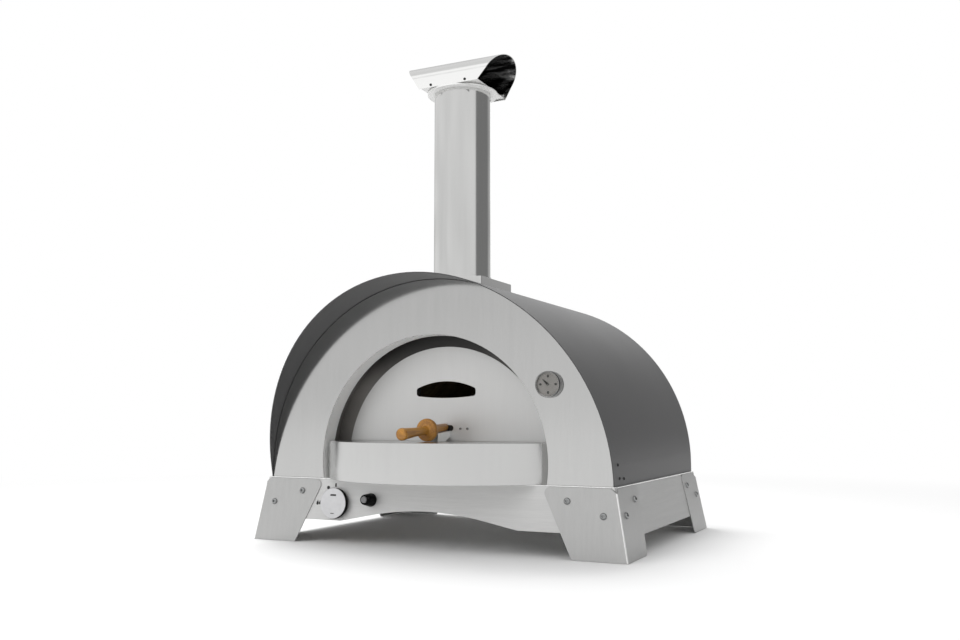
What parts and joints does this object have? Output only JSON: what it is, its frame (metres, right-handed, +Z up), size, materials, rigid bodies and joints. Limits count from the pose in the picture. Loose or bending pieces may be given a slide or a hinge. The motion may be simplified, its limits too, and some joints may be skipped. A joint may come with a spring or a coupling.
{
  "type": "gas pizza oven",
  "caption": "Domed gas pizza oven on a splayed sheet-metal stand, with bowed front shelf, lift-off door, thermometer, knob, igniter and chimney with cowl.",
  "frame": {"origin": "middle of the overall width and depth, on the floor", "axes": "+Z up, +Y towards the rear, +X to the right as the user faces the mouth"},
  "size_m": [1.009, 0.881, 1.262],
  "materials": {
    "casing_paint": "dark grey powder coat, fine texture, satin",
    "liner_steel": "black heat-resistant paint, matte",
    "polished_steel": "bright stainless, fine vertical brushing",
    "stand_steel": "stainless, fine brushing, satin",
    "flue_steel": "stainless, brushed round the pipe",
    "plain_steel": "plain stainless sheet and rod",
    "fasteners": "bright stainless, polished heads",
    "refractory": "cast refractory, rough, buff",
    "insulation": "ceramic fibre, soft white",
    "handle_wood": "turned beech, oiled",
    "knob_metal": "satin anodised",
    "black_plastic": "moulded, black",
    "grey_plastic": "moulded, grey",
    "brass": "plain brass",
    "gauge_body": "stainless, brushed",
    "gauge_face": "printed grey dial",
    "gauge_pointer": "black",
    "gauge_pane": "clear",
    "electrode_ceramic": "glazed white stem, steel tip"
  },
  "bodies": {
    "root": {"base_deck": "stand_steel", "burner_feed_pipe": "brass", "burner_saddles": "plain_steel", "burner_tube": "plain_steel", "cap_ring": "flue_steel", "chamber_front_ring": "liner_steel", "chamber_rear_wall": "refractory", "chamber_vault": "refractory", "cowl": "flue_steel", "faceplate": "polished_steel", "flame_guard": "liner_steel", "floor_board": "insulation", "flue_collar": "flue_steel", "flue_flange": "flue_steel", "flue_pipe": "flue_steel", "front_apron": "stand_steel", "front_left_leg": "stand_steel", "front_right_leg": "stand_steel", "front_shelf": "polished_steel", "gas_inlet_pipe": "brass", "gas_valve": "brass", "gauge_dial": "gauge_face", "gauge_glass": "gauge_pane", "gauge_housing": "gauge_body", "gauge_nut": "fasteners", "hearth_tiles": "refractory", "hearth_tray": "plain_steel", "igniter_bezel": "black_plastic", "igniter_body": "black_plastic", "igniter_spring": "plain_steel", "insulation_blanket": "insulation", "left_side_panel": "stand_steel", "leg_bolts": "fasteners", "leg_nuts": "fasteners", "mouth_reveal": "liner_steel", "outer_casing": "casing_paint", "rear_apron": "stand_steel", "rear_insulation": "insulation", "rear_left_leg": "stand_steel", "rear_panel": "stand_steel", "rear_right_leg": "stand_steel", "right_side_panel": "stand_steel", "sheet_screws": "fasteners", "shelf_floor": "plain_steel", "smoke_duct": "flue_steel", "spark_electrode": "electrode_ceramic", "valve_spring": "plain_steel", "vestibule_liner": "liner_steel"},
    "door": {"door_skin": "polished_steel", "door_plug": "insulation", "door_back": "plain_steel", "door_screws": "fasteners", "handle_bracket": "polished_steel", "handle_rod": "plain_steel", "wooden_handle": "handle_wood"},
    "valve_stem": {"valve_plunger": "brass"},
    "knob": {"control_knob": "knob_metal", "valve_spindle": "plain_steel"},
    "igniter_push": {"igniter_button": "grey_plastic"},
    "needle": {"gauge_needle": "gauge_pointer"}
  },
  "joints": [
    {"name": "door_lift_off", "type": "slide", "parent": "root", "child": "door", "axis": [0, -1, 0], "range_m": [0, 0.3]},
    {"name": "knob_press", "type": "slide", "parent": "root", "child": "valve_stem", "axis": [0, 0.9956, -0.0936], "range_m": [0, 0.004], "stiffness_N_per_m": 800, "springref_m": -0.002, "deforming": ["valve_spring"]},
    {"name": "knob_turn", "type": "hinge", "parent": "valve_stem", "child": "knob", "pos_m": [-0.2565, -0.3107, 0.099], "axis": [0, -0.9956, 0.0936], "range_deg": [0, 210]},
    {"name": "igniter_press", "type": "slide", "parent": "root", "child": "igniter_push", "axis": [0, 0.9956, -0.0936], "range_m": [0, 0.005], "stiffness_N_per_m": 600, "springref_m": -0.002, "deforming": ["igniter_spring"]},
    {"name": "needle_turn", "type": "hinge", "parent": "root", "child": "needle", "pos_m": [0.31499, -0.2955, 0.38945], "axis": [0, -1, 0], "range_deg": [-180, 85], "stiffness_Nm_per_rad": 0.0005}
  ]
}
